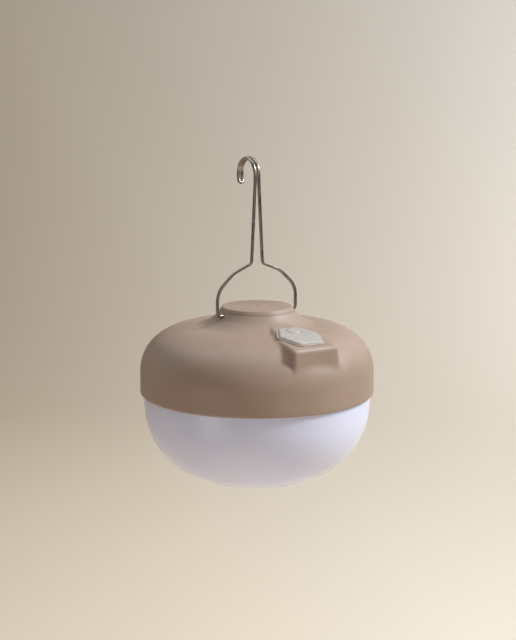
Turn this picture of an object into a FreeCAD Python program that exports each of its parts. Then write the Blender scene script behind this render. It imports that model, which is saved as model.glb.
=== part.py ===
"""Hanging camping lantern: a domed housing over a milky bowl, with a wire bail that hooks over a rail.

Row frame, in millimetres: +Z up, origin at the centre of the bowl's flat base, which the lantern
can stand on. The control boss is at the front (-Y), the bail turns about X and its hook curls to
the back (+Y).
"""
import FreeCAD, Part
import math
import os

import Sketcher
from FreeCAD import Placement, Rotation, Vector

document = FreeCAD.newDocument("CampingLantern")

# ---------------------------------------------------------------------------------------------
# Driving dimensions
# ---------------------------------------------------------------------------------------------

DIMENSIONS = {
    # bowl
    "base_radius": (37.2, "flat base of the bowl"),
    "base_curve": (28.0, "arc from the flat base"),
    "base_sweep": (9.85, "angle of that arc"),
    "belly_curve": (65.7, "main arc of the bowl"),
    "belly_sweep": (72.9, "angle of that arc"),
    "upper_curve": (143.0, "upper arc of the bowl"),
    "bowl_wall": (2.2, "bowl wall"),
    "bowl_rim_height": (80.0, "top of the bowl's rim, inside the housing"),
    "snap_height": (77.6, "middle of the snap bead"),
    "snap_bead": (0.7, "how far the snap bead stands out"),
    # housing
    "seam_height": (75.0, "lower edge of the housing"),
    "housing_radius": (100.0, "widest radius of the housing"),
    "lip_round": (2.0, "rounding of the lower edge"),
    "draft": (0.6, "draft of the straight side"),
    "side_height": (18.0, "straight side"),
    "shoulder_curve": (35.3, "outer shoulder arc"),
    "shoulder_sweep": (52.5, "angle of that arc"),
    "crown_curve": (48.8, "inner shoulder arc"),
    "crown_sweep": (28.3, "angle of that arc"),
    "top_curve": (125.0, "nearly flat top arc"),
    "top_sweep": (5.0, "angle of that arc"),
    "neck_curve": (26.3, "hollow arc up to the neck"),
    "neck_sweep": (48.0, "angle of that arc"),
    "wall": (2.5, "housing wall"),
    "neck_radius": (32.0, "top edge of the neck"),
    "neck_opening": (24.2, "hole in the neck under the cap"),
    "neck_ceiling": (139.0, "underside of the neck's thick ring"),
    # cap
    "cap_height": (149.2, "top of the cap"),
    "cap_radius": (29.8, "top edge of the cap"),
    "cap_plug_depth": (4.0, "cap plug below the neck's edge"),
    "pin_hole_radius": (1.3, "pin hole in the cap"),
    "pin_hole_depth": (2.4, "depth of the pin hole"),
    # control boss, in a frame on its own sloping top
    "boss_reach": (66.2, "distance of the boss frame from the axis"),
    "boss_height": (133.1, "height of the boss frame"),
    "boss_tilt": (9.8, "slope of the boss top, down to the front"),
    "boss_half_width": (23.8, "half width of the boss at its foot"),
    "boss_front": (94.9, "front face of the boss at its foot, from the axis"),
    "boss_shoulder": (66.0, "where the boss sides turn in towards the neck, from the axis"),
    "boss_back": (36.0, "back end of the boss, inside the neck flank"),
    "boss_back_half": (12.5, "half width of the boss at its back end"),
    "boss_foot": (102.0, "height where the boss outline is drawn"),
    "boss_taper": (4.0, "draft of the boss sides"),
    "boss_corner": (5.4, "vertical corner radius"),
    "boss_edge": (3.4, "rounding of the top edge"),
    # control pad, flap and button
    "pad_half_width": (20.0, "pad at its widest"),
    "pad_waist": (1.0, "where it is widest, inward of the pad centre"),
    "pad_inner_half": (10.2, "half length of the pad's inner edge"),
    "pad_inner_reach": (19.3, "pad's inner edge, from the pad centre"),
    "pad_outer_half": (12.4, "half length of the pad's outer edge"),
    "pad_outer_reach": (21.0, "pad's outer edge, from the pad centre"),
    "pad_corner": (3.5, "radius of the pad's inner and side corners"),
    "pad_outer_corner": (7.0, "radius of the pad's outer corners"),
    "pad_thickness": (2.4, "pad thickness"),
    "pad_lip": (0.85, "thickness of the thin lip round the pad"),
    "pad_lip_width": (1.2, "width of that lip"),
    "pad_edge": (1.2, "rounding of the pad's top edge"),
    "pad_seat": (0.05, "pad above the boss top"),
    "flap_seat": (0.12, "closed flap above the boss top"),
    "flap_split": (0.6, "line where the flap bends, inward of the pad centre"),
    "flap_gap": (0.3, "slit at the bending line"),
    "button_inward": (9.0, "button centre, inward of the pad centre"),
    "button_radius": (6.2, "button"),
    "button_gap": (0.3, "clearance round the button"),
    "button_rise": (0.9, "button above the pad"),
    "button_travel": (0.6, "how far the button goes down"),
    "stem_radius": (1.9, "button stem"),
    "port_outward": (9.5, "charging port, outward of the pad centre"),
    "port_width": (12.6, "well over the charging port"),
    "port_depth": (7.2, "well over the charging port, in to out"),
    "plug_clearance": (0.45, "gap between the flap's plug and the well"),
    # control board
    "board_drop": (9.5, "boss top down to the control board"),
    "board_thickness": (1.6, "circuit boards"),
    "board_width": (34.0, "control board width"),
    "board_length": (34.0, "control board length, in to out"),
    "board_screw_side": (14.0, "control board screws, from the middle"),
    "board_shift": (2.0, "control board's middle, outward of the pad's"),
    "board_screw_reach": (13.5, "control board screws, from the board's middle"),
    # inner carrier, light board and battery
    "carrier_height": (81.5, "underside of the carrier"),
    "carrier_thickness": (2.5, "carrier plate"),
    "carrier_radius": (96.4, "carrier plate"),
    "post_offset": (55.0, "carrier screw posts from the axis, along X and Y"),
    "post_radius": (4.0, "carrier screw posts"),
    "light_board_radius": (72.0, "light board"),
    "outer_ring": (60.0, "outer ring of lights"),
    "inner_ring": (32.0, "inner ring of lights"),
    "light_screw_circle": (45.0, "light board screws"),
    "light_width": (3.5, "one light, along the ring"),
    "light_depth": (2.8, "one light, across the ring"),
    "light_height": (0.8, "one light"),
    "cell_radius": (9.2, "battery cell"),
    "cell_length": (65.2, "battery cell"),
    "cell_height": (95.6, "axis of the battery cells"),
    "cradle_wall": (1.8, "battery cradle walls"),
    # bail
    "wire": (2.8, "bail wire diameter"),
    "pivot_height": (143.2, "bail pivot axis"),
    "foot_half": (38.6, "upright foot of the bail, from the middle"),
    "waist_half": (5.7, "bail wires where the legs begin"),
    "tip_half": (1.75, "bail wires in the hook"),
    "waist_height": (185.6, "where the legs begin"),
    "hook_start": (259.5, "where the hook begins"),
    "hook_curve": (14.0, "hook radius, middle of the wire"),
    "hook_sweep": (205.0, "how far the hook curls"),
    "bush_radius": (2.1, "outside of the bail bushes"),
    "bush_bore": (1.47, "inside of the bail bushes"),
    "bush_length": (6.6, "bail bushes"),
}

sheet = document.addObject("Spreadsheet::Sheet", "Sizes")


class Size:
    """A dimension that knows its value and the formula that gives it from the sheet."""

    def __init__(self, value, formula):
        self.value = value
        self.formula = formula

    def __add__(self, other):
        other = as_size(other)
        return Size(self.value + other.value, f"({self.formula} + {other.formula})")

    def __sub__(self, other):
        other = as_size(other)
        return Size(self.value - other.value, f"({self.formula} - {other.formula})")

    def __mul__(self, other):
        other = as_size(other)
        return Size(self.value * other.value, f"{self.formula} * {other.formula}")

    def __truediv__(self, other):
        other = as_size(other)
        return Size(self.value / other.value, f"{self.formula} / {other.formula}")

    def __radd__(self, other):
        return as_size(other) + self

    def __rsub__(self, other):
        return as_size(other) - self

    def __rmul__(self, other):
        return as_size(other) * self

    def __neg__(self):
        return as_size(0) - self


def as_size(number):
    """A Size from a Size or a plain number."""
    if isinstance(number, Size):
        return number
    return Size(float(number), f"({number})")


def sine(angle):
    angle = as_size(angle)
    return Size(math.sin(math.radians(angle.value)), f"sin({angle.formula})")


def cosine(angle):
    angle = as_size(angle)
    return Size(math.cos(math.radians(angle.value)), f"cos({angle.formula})")


class Dimensions:
    """Every row of the sheet, as a Size of the same name."""

    def __init__(self, rows):
        for row, (name, (number, note)) in enumerate(rows.items(), start=1):
            sheet.set(f"A{row}", name)
            sheet.set(f"B{row}", str(number))
            sheet.set(f"C{row}", note)
            sheet.setAlias(f"B{row}", name)
            setattr(self, name, Size(number, f"Sizes.{name}"))


dim = Dimensions(DIMENSIONS)
document.recompute()

# ---------------------------------------------------------------------------------------------
# Outlines and features
# ---------------------------------------------------------------------------------------------


class Outline:
    """A closed outline of lines and arcs, drawn point by point with a heading in degrees."""

    def __init__(self, across, up, heading=0.0):
        self.across = as_size(across)
        self.up = as_size(up)
        self.heading = as_size(heading)
        self.segments = []

    def _add(self, across, up, radius=None, turn=0):
        start = (self.across, self.up)
        self.across = across
        self.up = up
        self.segments.append((start, (across, up), radius, turn))
        return self

    def to(self, across, up):
        """A straight line to a point."""
        return self._add(as_size(across), as_size(up))

    def line(self, length):
        """A straight line along the heading."""
        across = self.across + length * cosine(self.heading)
        return self._add(across, self.up + length * sine(self.heading))

    def arc(self, radius, sweep):
        """An arc tangent to the heading, to the left for a positive sweep in degrees."""
        radius = as_size(radius)
        turn = 1 if as_size(sweep).value > 0 else -1
        leaving = self.heading + sweep
        across = self.across + turn * radius * (sine(leaving) - sine(self.heading))
        up = self.up - turn * radius * (cosine(leaving) - cosine(self.heading))
        self.heading = leaving
        return self._add(across, up, radius, turn)


def closed(outline):
    """Close an outline with a straight line back to its first point."""
    first = outline.segments[0][0]
    return outline.to(*first)


def rounded_polygon(points, radii):
    """Outline of a convex polygon, counter-clockwise, with each corner rounded by a tangent arc."""
    count = len(points)
    corners = []
    for index, point in enumerate(points):
        before = points[index - 1]
        after = points[(index + 1) % count]
        into = math.atan2(point[1].value - before[1].value, point[0].value - before[0].value)
        out = math.atan2(after[1].value - point[1].value, after[0].value - point[0].value)
        radius = radii[index]
        cut = math.tan((out - into) % (2 * math.pi) / 2)
        start = (point[0] - radius * (cut * math.cos(into)), point[1] - radius * (cut * math.sin(into)))
        end = (point[0] + radius * (cut * math.cos(out)), point[1] + radius * (cut * math.sin(out)))
        corners.append((start, end))
    outline = Outline(*corners[0][0])
    for index, (start, end) in enumerate(corners):
        if index:
            outline.to(*start)
        outline._add(*end, radii[index], 1)
    return closed(outline)


def circle_centre(start, end, radius, turn):
    """Centre of the arc from start to end that bends left (turn 1) or right (turn -1)."""
    chord = end - start
    half = chord.Length / 2
    rise = math.sqrt(max(radius * radius - half * half, 0.0))
    normal = Vector(-chord.y, chord.x, 0).normalize()
    return (start + end) / 2 + normal * (turn * rise)


def sketch_segment(sketch, start, end, radius, turn):
    """Add one line or arc, and return its index and which of its ends are start and end."""
    first = Vector(start[0].value, start[1].value, 0)
    last = Vector(end[0].value, end[1].value, 0)
    if radius is None:
        return sketch.addGeometry(Part.LineSegment(first, last), False), 1, 2
    centre = circle_centre(first, last, radius.value, turn)
    low, high = (first, last) if turn > 0 else (last, first)
    begin = math.atan2(low.y - centre.y, low.x - centre.x)
    finish = math.atan2(high.y - centre.y, high.x - centre.x)
    if finish < begin:
        finish += 2 * math.pi
    circle = Part.Circle(centre, Vector(0, 0, 1), radius.value)
    index = sketch.addGeometry(Part.ArcOfCircle(circle, begin, finish), False)
    return (index, 1, 2) if turn > 0 else (index, 2, 1)


def constrain(sketch, kind, parts, size):
    """Add a sized constraint bound to the sheet."""
    index = sketch.addConstraint(Sketcher.Constraint(kind, *parts, size.value))
    sketch.setExpression(f"Constraints[{index}]", size.formula)


def draw(body, outline, role, height=None):
    """Sketch an outline on one of the body's origin planes, moved by height along its normal."""
    sketch = body.newObject("Sketcher::SketchObject", f"{body.Name}_outline")
    planes = [plane for plane in body.Origin.OriginFeatures if plane.Role == role]
    sketch.AttachmentSupport = [(planes[0], "")]
    sketch.MapMode = "FlatFace"
    if height is not None:
        sketch.AttachmentOffset = Placement(Vector(0, 0, height.value), Rotation())
        sketch.setExpression("AttachmentOffset.Base.z", height.formula)
    added = [sketch_segment(sketch, *segment) for segment in outline.segments]
    for index, (geometry, start, _) in enumerate(added):
        previous, _, previous_end = added[index - 1]
        sketch.addConstraint(Sketcher.Constraint("Coincident", previous, previous_end, geometry, start))
        across, up = outline.segments[index][0]
        constrain(sketch, "DistanceX", (geometry, start), across)
        constrain(sketch, "DistanceY", (geometry, start), up)
        radius = outline.segments[index][2]
        if radius is not None:
            constrain(sketch, "Radius", (geometry,), radius)
    return sketch


def new_body(name):
    return document.addObject("PartDesign::Body", name)


def revolved(name, outline):
    """A body turned about Z from an outline in the XZ plane."""
    body = new_body(name)
    sketch = draw(body, outline, "XZ_Plane")
    turned = body.newObject("PartDesign::Revolution", f"{name}_turned")
    turned.Profile = sketch
    turned.ReferenceAxis = (sketch, ["V_Axis"])
    turned.Angle = 360
    document.recompute()
    return body


def extruded(name, outline, length, height=0.0, taper=0.0):
    """A body padded upward from an outline in the XY plane at a height."""
    body = new_body(name)
    sketch = draw(body, outline, "XY_Plane", as_size(height))
    pad = body.newObject("PartDesign::Pad", f"{name}_pad")
    pad.Profile = sketch
    bind(pad, "Length", length)
    if as_size(taper).value:
        bind(pad, "TaperAngle", taper)
    document.recompute()
    return body


def bind(thing, name, size):
    """Set a property to a size and bind it to the sheet."""
    size = as_size(size)
    setattr(thing, name, size.value)
    thing.setExpression(name, size.formula)


def place(thing, across=0.0, deep=0.0, up=0.0, turn=None):
    """Place an object, with each coordinate bound to the sheet, and an optional rotation."""
    sizes = [as_size(number) for number in (across, deep, up)]
    thing.Placement = Placement(Vector(*(size.value for size in sizes)), turn or Rotation())
    for letter, size in zip("xyz", sizes):
        thing.setExpression(f"Placement.Base.{letter}", size.formula)
    return thing


def box(name, centre, size):
    """A block, by the middle of its base and its size."""
    block = document.addObject("Part::Box", name)
    for key, side in zip(("Length", "Width", "Height"), size):
        bind(block, key, side)
    half_across = as_size(size[0]) / 2
    half_deep = as_size(size[1]) / 2
    return place(block, centre[0] - half_across, centre[1] - half_deep, centre[2])


UPRIGHT = Rotation()
ALONG_X = Rotation(Vector(0, 1, 0), 90)


def cylinder(name, radius, length, start, turn=UPRIGHT):
    """A cylinder from a start point, along Z or along X."""
    rod = document.addObject("Part::Cylinder", name)
    bind(rod, "Radius", radius)
    bind(rod, "Height", length)
    return place(rod, *start, turn=turn)


def joined(name, pieces):
    """One object from several pieces, fused where they touch and separate solids where they don't."""
    whole = document.addObject("Part::MultiFuse", name)
    whole.Shapes = pieces
    return whole


def less(name, base, tools):
    """A base with each tool cut away."""
    tool = tools[0] if len(tools) == 1 else joined(f"{name}_tools", tools)
    result = document.addObject("Part::Cut", name)
    result.Base = base
    result.Tool = tool
    return result


def shared(name, first, second):
    """What two objects have in common."""
    result = document.addObject("Part::MultiCommon", name)
    result.Shapes = [first, second]
    return result


def moved(name, things, placement):
    """Finished objects in a frame of their own."""
    group = document.addObject("Part::Compound", name)
    group.Links = things
    group.Placement = placement
    return group


def on_boss(name, things):
    """Objects drawn in the boss frame, moved to the sloping top of the boss."""
    group = moved(f"{name}_on_boss", things, BOSS_FRAME)
    for letter, size in (("y", -dim.boss_reach), ("z", dim.boss_height)):
        group.setExpression(f"Placement.Base.{letter}", size.formula)
    return group


def rounded_edges(name, base, radius, wanted):
    """A base with the edges that wanted(edge) picks rounded."""
    document.recompute()
    result = document.addObject("Part::Fillet", name)
    result.Base = base
    picked = [index for index, edge in enumerate(base.Shape.Edges, start=1) if wanted(edge)]
    result.Edges = [(index, radius.value, radius.value) for index in picked]
    document.recompute()
    return result


def screw(name, head_radius, head_height, shank_radius, shank_length, seat):
    """A pan-head screw that enters upward, its head under the seat point."""
    under_head = (seat[0], seat[1], seat[2] - head_height)
    head = cylinder(f"{name}_head", head_radius, head_height, under_head)
    shank = cylinder(f"{name}_shank", shank_radius, shank_length, seat)
    socket = cylinder(f"{name}_socket", shank_radius * 0.8, head_height * 0.6, under_head)
    return less(name, joined(f"{name}_solid", [head, shank]), [socket])


nodes = {}


def keep(name, thing):
    """Register a finished sub-part under its node name."""
    thing.Label = name
    nodes[name] = thing
    return thing


# The control parts are drawn in a frame on the sloping top of the boss: X across, Y in towards
# the neck, Z square to the boss top.
BOSS_TURN = Rotation(Vector(1, 0, 0), dim.boss_tilt.value)
BOSS_FRAME = Placement(Vector(0, -dim.boss_reach.value, dim.boss_height.value), BOSS_TURN)
FOUR_CORNERS = [(1, 1), (-1, 1), (-1, -1), (1, -1)]

# ---------------------------------------------------------------------------------------------
# Bowl, gasket and cap
# ---------------------------------------------------------------------------------------------


def bowl_arcs(outline, inset):
    """The bowl's three tangent arcs, moved inward by inset."""
    outline.arc(dim.base_curve - inset, dim.base_sweep)
    outline.arc(dim.belly_curve - inset, dim.belly_sweep)
    return outline.arc(dim.upper_curve - inset, 90 - dim.base_sweep - dim.belly_sweep)


def make_diffuser():
    """Milky bowl with a snap bead on the rim that goes up inside the housing."""
    outside = bowl_arcs(Outline(0, 0).to(dim.base_radius, 0), 0)
    rim = outside.across
    bead = dim.snap_bead
    outside.to(rim, dim.snap_height - bead)
    outside.to(rim + bead, dim.snap_height)
    outside.to(rim, dim.snap_height + bead)
    outside.to(rim, dim.bowl_rim_height)
    outside.to(rim - dim.bowl_wall, dim.bowl_rim_height)
    outside.to(rim - dim.bowl_wall, bowl_top())
    inner = bowl_arcs(Outline(0, dim.bowl_wall).to(dim.base_radius, dim.bowl_wall), dim.bowl_wall)
    for start, _, radius, turn in reversed(inner.segments[1:]):
        outside._add(start[0], start[1], radius, -turn)
    outside.to(0, dim.bowl_wall)
    keep("diffuser", revolved("diffuser", closed(outside)))
    return rim


def bowl_top():
    """Height where the bowl's wall turns vertical."""
    return bowl_arcs(Outline(dim.base_radius, 0), 0).up


def make_gasket(rim):
    """Flat silicone ring between the bowl's rim and the carrier."""
    low = dim.bowl_rim_height
    high = dim.carrier_height
    ring = Outline(rim - dim.bowl_wall, low).to(rim, low).to(rim, high).to(rim - dim.bowl_wall, high)
    keep("diffuser_gasket", revolved("diffuser_gasket", closed(ring)))


def make_cap():
    """Flat round cap on the neck, with a plug below it and a pin hole in the middle."""
    edge = neck_edge_height()
    plug = dim.neck_opening - 0.1
    outline = Outline(dim.pin_hole_radius, dim.cap_height)
    outline.to(dim.pin_hole_radius, dim.cap_height - dim.pin_hole_depth)
    outline.to(0, dim.cap_height - dim.pin_hole_depth)
    outline.to(0, edge)
    outline.to(plug - dim.wall, edge)
    outline.to(plug - dim.wall, edge - dim.cap_plug_depth)
    outline.to(plug, edge - dim.cap_plug_depth)
    outline.to(plug, edge)
    outline.to(dim.neck_radius - 0.2, edge)
    outline.to(dim.cap_radius, dim.cap_height - 0.5)
    outline.to(dim.cap_radius - 0.5, dim.cap_height)
    keep("top_cap", revolved("top_cap", closed(outline)))


# ---------------------------------------------------------------------------------------------
# Upper housing
# ---------------------------------------------------------------------------------------------


def dome(inset):
    """The housing's side, shoulder and neck flank from the seam up, moved inward by inset."""
    start = 90 + dim.draft
    outline = Outline(dim.housing_radius - inset, dim.seam_height + dim.lip_round, start)
    outline.line(dim.side_height)
    outline.arc(dim.shoulder_curve - inset, dim.shoulder_sweep)
    outline.arc(dim.crown_curve - inset, dim.crown_sweep)
    outline.arc(dim.top_curve - inset, dim.top_sweep)
    return outline


def neck_edge_height():
    """Height of the neck's top edge, where the flank reaches the neck radius."""
    flank = dome(0).arc(dim.neck_curve, -dim.neck_sweep)
    run = (dim.neck_radius - flank.across) / cosine(flank.heading)
    return flank.up + run * sine(flank.heading)


def outer_dome():
    """Solid of the housing's outside."""
    outline = dome(0).arc(dim.neck_curve, -dim.neck_sweep)
    outline.to(dim.neck_radius, neck_edge_height())
    outline.to(0, neck_edge_height())
    outline.to(0, dim.seam_height)
    outline.to(dim.housing_radius - dim.lip_round, dim.seam_height)
    first = outline.segments[0][0]
    outline._add(first[0], first[1], dim.lip_round, 1)
    return revolved("housing_outside", outline)


def inner_dome():
    """Solid of the space inside the housing, with the groove for the bowl's snap bead."""
    outline = dome(dim.wall)
    ceiling = outline.up
    outline.to(dim.neck_opening, ceiling)
    outline.to(dim.neck_opening, dim.cap_height)
    outline.to(0, dim.cap_height)
    outline.to(0, dim.seam_height - 1)
    inside = dim.housing_radius - dim.wall
    outline.to(inside, dim.seam_height - 1)
    return revolved("housing_inside", closed(outline))


def snap_groove():
    """Ring cut into the skirt for the bowl's snap bead."""
    inside = dim.housing_radius - dim.wall
    ring = Outline(inside - 1.0, dim.snap_height - 1.3).to(inside, dim.snap_height - 1.3)
    ring.to(inside + 0.8, dim.snap_height - 0.3)
    ring.to(inside + 0.8, dim.snap_height + 0.3)
    ring.to(inside, dim.snap_height + 1.3).to(inside - 1.0, dim.snap_height + 1.3)
    return revolved("snap_groove", closed(ring))


def boss_block(name, inset):
    """The boss as a tapered block, cut off along its sloping top."""
    half = dim.boss_half_width - inset
    front = -(dim.boss_front - inset)
    corner = dim.boss_corner - inset
    back = -dim.boss_back
    back_half = dim.boss_back_half - inset
    outline = Outline(back_half, back).to(-back_half, back)
    outline.to(-half, -dim.boss_shoulder).to(-half, front + corner)
    outline.heading = as_size(270)
    outline.arc(corner, 90)
    outline.to(half - corner, front)
    outline.heading = as_size(0)
    outline.arc(corner, 90)
    outline.to(half, -dim.boss_shoulder)
    block = extruded(f"{name}_block", closed(outline), 45, dim.boss_foot, -dim.boss_taper)
    above = box(f"{name}_above", (0, 0, -inset), (120, 120, 60))
    return less(name, block, [on_boss(f"{name}_above", [above])])


def is_boss_top_edge(edge):
    """Whether an edge lies in the boss's sloping top, at its sides or front."""
    points = edge.discretize(5)
    local = [BOSS_FRAME.inverse().multVec(point) for point in points]
    in_top = all(abs(point.z) < 0.01 for point in local)
    at_back = all(point.y > -dim.boss_back.value - 0.01 for point in points)
    return in_top and not at_back


def screw_posts(outside):
    """Posts for the carrier screws and the control board screws, trimmed to the housing's outside."""
    carrier_top = dim.carrier_height + dim.carrier_thickness
    posts = []
    for number, (side, depth) in enumerate(FOUR_CORNERS, start=1):
        where = (dim.post_offset * side, dim.post_offset * depth, carrier_top)
        posts.append(cylinder(f"carrier_post_{number}", dim.post_radius, 60, where))
    board_posts = [cylinder(f"board_post_{number}", 2.4, dim.board_drop, (across, deep, -dim.board_drop))
                   for number, (across, deep) in enumerate(board_screw_places(), start=1)]
    posts.append(on_boss("board_posts", board_posts))
    return shared("screw_posts", joined("all_posts", posts), outside)


def board_screw_places():
    """Where the control board's screws go, in the boss frame."""
    return [(dim.board_screw_side * side, dim.board_screw_reach * depth - dim.board_shift)
            for side, depth in FOUR_CORNERS]


def pilot_holes():
    """Screw holes in the posts."""
    carrier_top = dim.carrier_height + dim.carrier_thickness
    holes = []
    for number, (side, depth) in enumerate(FOUR_CORNERS, start=1):
        where = (dim.post_offset * side, dim.post_offset * depth, carrier_top - 1)
        holes.append(cylinder(f"carrier_pilot_{number}", 1.45, 11, where))
    board_holes = [cylinder(f"board_pilot_{number}", 0.95, 6, (across, deep, -dim.board_drop - 1))
                   for number, (across, deep) in enumerate(board_screw_places(), start=1)]
    return holes + [on_boss("board_pilots", board_holes)]


def boss_openings():
    """The well over the charging port and the hole for the button's stem."""
    well = box("port_well", (0, -dim.port_outward, -6), (dim.port_width, dim.port_depth, 12))
    stem_hole = cylinder("stem_hole", dim.stem_radius + 0.4, 12, (0, dim.button_inward, -6))
    return [on_boss("boss_openings", [well, stem_hole])]


def bail_holes():
    """The two blind holes in the neck for the bail bushes."""
    holes = []
    for name, start in (("bail_hole_right", 26.0), ("bail_hole_left", -40.0)):
        holes.append(cylinder(name, dim.bush_radius, 14, (start, 0, dim.pivot_height), ALONG_X))
    return holes


def neck_core():
    """Space under the neck's thick ring, following the hollow flank."""
    outline = dome(dim.wall).arc(dim.neck_curve + dim.wall, -(dim.neck_sweep - 16))
    top = dim.neck_ceiling
    start = dome(dim.wall)
    core = Outline(dim.neck_opening - 1, start.up - 1).to(start.across, start.up - 1)
    core.to(start.across, start.up)
    core._add(outline.across, outline.up, dim.neck_curve + dim.wall, -1)
    core.to(outline.across - 2, top)
    core.to(dim.neck_opening - 1, top)
    return revolved("neck_core", closed(core))


def make_housing():
    """Moulded housing: dome, neck, control boss and screw posts in one piece."""
    outside = outer_dome()
    boss = rounded_edges("boss_rounded", boss_block("boss", as_size(0)), dim.boss_edge, is_boss_top_edge)
    whole = joined("housing_whole", [outside, boss])
    boss_space = boss_block("boss_space", dim.wall)
    hollow = less("housing_hollow", whole, [inner_dome(), neck_core(), snap_groove(), boss_space])
    posts = screw_posts(whole)
    solid = joined("housing_solid", [hollow, posts])
    housing = less("upper_housing", solid, pilot_holes() + boss_openings() + bail_holes())
    keep("upper_housing", housing)


# ---------------------------------------------------------------------------------------------
# Control pad, flap and button
# ---------------------------------------------------------------------------------------------


def pad_points():
    """Corners of the six-sided pad, counter-clockwise from the right."""
    right = [(dim.pad_half_width, dim.pad_waist), (dim.pad_inner_half, dim.pad_inner_reach)]
    left = [(-across, deep) for across, deep in reversed(right)]
    outer = (dim.pad_outer_half, -dim.pad_outer_reach)
    return right + left + [(-outer[0], outer[1]), outer]


def pad_corner_radii(inset):
    """Corner radii of the pad's outline, moved inward by inset."""
    return [dim.pad_corner - inset] * 4 + [dim.pad_outer_corner - inset] * 2


def inset_polygon(points, inset):
    """Corners of a convex polygon, counter-clockwise, with every side moved inward."""
    moved_in = []
    for index, point in enumerate(points):
        before = points[index - 1]
        after = points[(index + 1) % len(points)]
        into = math.atan2(point[1].value - before[1].value, point[0].value - before[0].value)
        out = math.atan2(after[1].value - point[1].value, after[0].value - point[0].value)
        share = 1 / (1 + math.cos(out - into))
        across = -(math.sin(into) + math.sin(out)) * share
        deep = (math.cos(into) + math.cos(out)) * share
        moved_in.append((point[0] + inset * across, point[1] + inset * deep))
    return moved_in


def pad_slab(name, seat):
    """The whole pad, seated just above the boss: a thin lip and a plateau with a rounded top edge."""
    outline = rounded_polygon(pad_points(), pad_corner_radii(as_size(0)))
    lip = extruded(f"{name}_lip", outline, dim.pad_lip - seat, seat)
    inner_points = inset_polygon(pad_points(), dim.pad_lip_width)
    inner_outline = rounded_polygon(inner_points, pad_corner_radii(dim.pad_lip_width))
    slab = extruded(name, inner_outline, dim.pad_thickness - seat, seat)
    top = dim.pad_thickness.value

    def on_top(edge):
        return all(abs(point.z - top) < 0.01 for point in edge.discretize(3))

    return joined(f"{name}_whole", [lip, rounded_edges(f"{name}_rounded", slab, dim.pad_edge, on_top)])


def make_pad():
    """Silicone pad round the button: the fixed inner half of the pad."""
    half_gap = dim.flap_gap / 2
    outer_side = box("pad_outer_side", (0, dim.flap_split + half_gap - 30, -1), (60, 60, 6))
    hole = cylinder("button_hole", dim.button_radius + dim.button_gap, 10, (0, dim.button_inward, -3))
    pad = less("control_pad", pad_slab("pad_slab", dim.pad_seat), [outer_side, hole])
    keep("control_pad", on_boss("control_pad", [pad]))


def make_flap():
    """Silicone flap over the charging port: the outer half of the pad, with a plug under it."""
    half_gap = dim.flap_gap / 2
    inner_side = box("flap_inner_side", (0, dim.flap_split - half_gap + 30, -1), (60, 60, 6))
    leaf = less("flap_leaf", pad_slab("flap_slab", dim.flap_seat), [inner_side])
    plug_size = (dim.port_width - 2 * dim.plug_clearance, dim.port_depth - 2 * dim.plug_clearance, 2.6)
    plug = box("flap_plug", (0, -dim.port_outward, -2.1), plug_size)
    keep("port_flap", on_boss("port_flap", [joined("port_flap", [leaf, plug])]))


def make_button():
    """Round key with a domed top and a stem that reaches the switch."""
    top = dim.pad_thickness + dim.button_rise
    plate = dim.button_travel + 0.3
    outline = Outline(0, top).to(0, stem_end()).to(dim.stem_radius, stem_end())
    outline.to(dim.stem_radius, plate).to(dim.button_radius, plate)
    outline.to(dim.button_radius, top - 1.1)
    outline.to(dim.button_radius - 0.5, top - 0.6)
    outline.to(dim.button_radius - 2.2, top - 0.1)
    button = place(revolved("power_button", closed(outline)), 0, dim.button_inward, 0)
    keep("power_button", on_boss("power_button", [button]))


def stem_end():
    """Bottom of the button's stem, on the switch plunger."""
    return -(dim.board_drop - 4.5)


# ---------------------------------------------------------------------------------------------
# Control board
# ---------------------------------------------------------------------------------------------


def make_control_board():
    """Circuit board that hangs from the boss, with its four screws."""
    low = -(dim.board_drop + dim.board_thickness)
    plate = box("control_plate", (0, -dim.board_shift, low),
                (dim.board_width, dim.board_length, dim.board_thickness))
    holes = []
    screws = []
    for number, (across, deep) in enumerate(board_screw_places(), start=1):
        holes.append(cylinder(f"control_hole_{number}", 1.2, 4, (across, deep, low - 1)))
        screws.append(screw(f"control_screw_{number}", 2.0, 1.4, 0.9, 5.5, (across, deep, low)))
    keep("control_board", on_boss("control_board", [less("control_board", plate, holes)]))
    keep("control_board_screws", on_boss("control_board_screws", screws))


def make_switch():
    """Push switch under the button: its body and its plunger."""
    top = -dim.board_drop + 3.5
    body = box("switch_block", (0, dim.button_inward, -dim.board_drop), (6, 6, 3.5))
    bore = cylinder("switch_bore", 1.75, 4, (0, dim.button_inward, top - 2.2))
    keep("switch_body", on_boss("switch_body", [less("switch_body", body, [bore])]))
    plunger = cylinder("switch_plunger", 1.6, 2.4, (0, dim.button_inward, top - 1.4))
    keep("switch_plunger", on_boss("switch_plunger", [plunger]))


def make_socket():
    """Upright charging socket with a flat tongue inside its metal shell."""
    height = dim.board_drop - 2.9
    outward = -dim.port_outward
    shell = box("socket_shell", (0, outward, -dim.board_drop), (8.9, 3.2, height))
    mouth = box("socket_mouth", (0, outward, -dim.board_drop + 1.2), (8.3, 2.6, height))
    hollow = less("socket_hollow", shell, [mouth])
    tongue = box("socket_tongue", (0, outward, -dim.board_drop + 1.0), (6.7, 0.7, height - 2.0))
    keep("usb_socket", on_boss("usb_socket", [joined("usb_socket", [hollow, tongue])]))


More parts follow.
